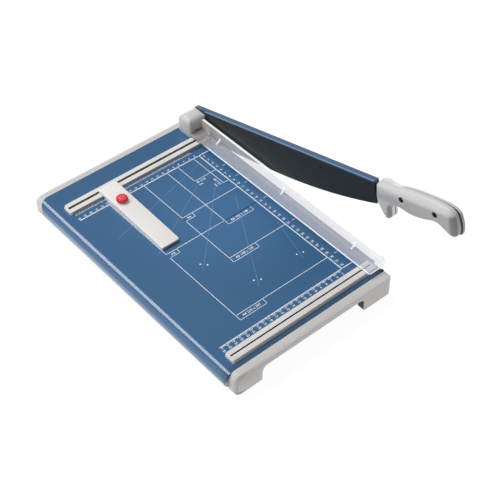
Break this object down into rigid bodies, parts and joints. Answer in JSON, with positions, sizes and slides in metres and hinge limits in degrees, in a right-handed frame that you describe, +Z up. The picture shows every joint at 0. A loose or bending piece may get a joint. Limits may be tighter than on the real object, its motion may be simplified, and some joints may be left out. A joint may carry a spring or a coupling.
{
  "type": "guillotine paper cutter",
  "caption": "Desktop lever paper cutter: blue sheet-metal table with printed paper formats, curved blade on a hinged arm, clear blade guard, slotted stop rails and a sliding back gauge.",
  "frame": {"origin": "middle of the footprint, on the surface that the rubber feet stand on", "axes": "+X across the table from the rolled edge towards the blade, +Y along the cut from the handle towards the pivot, +Z up"},
  "size_m": [0.3055, 0.5434, 0.2091],
  "materials": {
    "table_blue": "satin powder coat",
    "cap_grey": "fine moulded texture",
    "pad_rubber": "matt",
    "knife_steel": "ground",
    "fastener_steel": "zinc plated",
    "bracket_steel": "zinc plated",
    "rail_aluminium": "satin anodised",
    "spring_steel": "bright drawn",
    "bearing_bronze": "turned",
    "guard_clear": "clear, polished edges",
    "gauge_plastic": "fine moulded texture",
    "knob_red": "satin",
    "arm_blue": "satin powder coat",
    "blade_steel": "blackened steel",
    "screw_black": "black oxide",
    "handle_grey": "fine moulded texture"
  },
  "bodies": {
    "base": {"table_plate": "table_blue", "front_end_cap": "cap_grey", "rear_end_cap": "cap_grey", "foot_pads": "pad_rubber", "lower_knife": "knife_steel", "knife_screws": "fastener_steel", "knife_nuts": "fastener_steel", "edge_angle": "bracket_steel", "table_ribs": "table_blue", "cap_screws": "fastener_steel", "rear_stop_rail": "rail_aluminium", "front_stop_rail": "rail_aluminium", "rail_screws": "fastener_steel", "pivot_bracket": "bracket_steel", "bracket_screws": "fastener_steel", "pivot_cover": "cap_grey", "cover_screw": "fastener_steel", "pivot_bolt": "fastener_steel", "pivot_nut": "fastener_steel", "disc_springs": "spring_steel", "thrust_washer": "bearing_bronze", "stop_pin": "fastener_steel", "guard_hinge_pin": "fastener_steel", "guard_spring": "spring_steel"},
    "guard": {"blade_guard": "guard_clear"},
    "arm": {"arm_carrier": "arm_blue", "upper_blade": "blade_steel", "blade_screws": "screw_black", "pivot_bush": "bearing_bronze", "handle_left_shell": "handle_grey", "handle_right_shell": "handle_grey", "handle_screws": "screw_black", "handle_nuts": "fastener_steel"},
    "gauge": {"gauge_body": "gauge_plastic", "gauge_clamp_plate": "bracket_steel"},
    "knob": {"gauge_knob": "knob_red", "gauge_stud": "fastener_steel"}
  },
  "joints": [
    {"name": "blade_arm_hinge", "type": "hinge", "parent": "base", "child": "arm", "pos_m": [0.138, 0.246, 0.052], "axis": [-1, 0, 0], "range_deg": [-16.5, 50]},
    {"name": "guard_tilt", "type": "hinge", "parent": "base", "child": "guard", "pos_m": [0.12, 0.2348, 0.045], "axis": [-1, 0, 0], "range_deg": [-0.29, 0], "stiffness_Nm_per_rad": 1, "springref_deg": 17.19},
    {"name": "gauge_slide", "type": "slide", "parent": "base", "child": "gauge", "axis": [1, 0, 0], "range_m": [-0.05, 0.145]},
    {"name": "knob_turn", "type": "hinge", "parent": "gauge", "child": "knob", "pos_m": [-0.0634, 0.1744, 0.05], "axis": [0, 0, 1], "range_deg": [0, 180]}
  ]
}
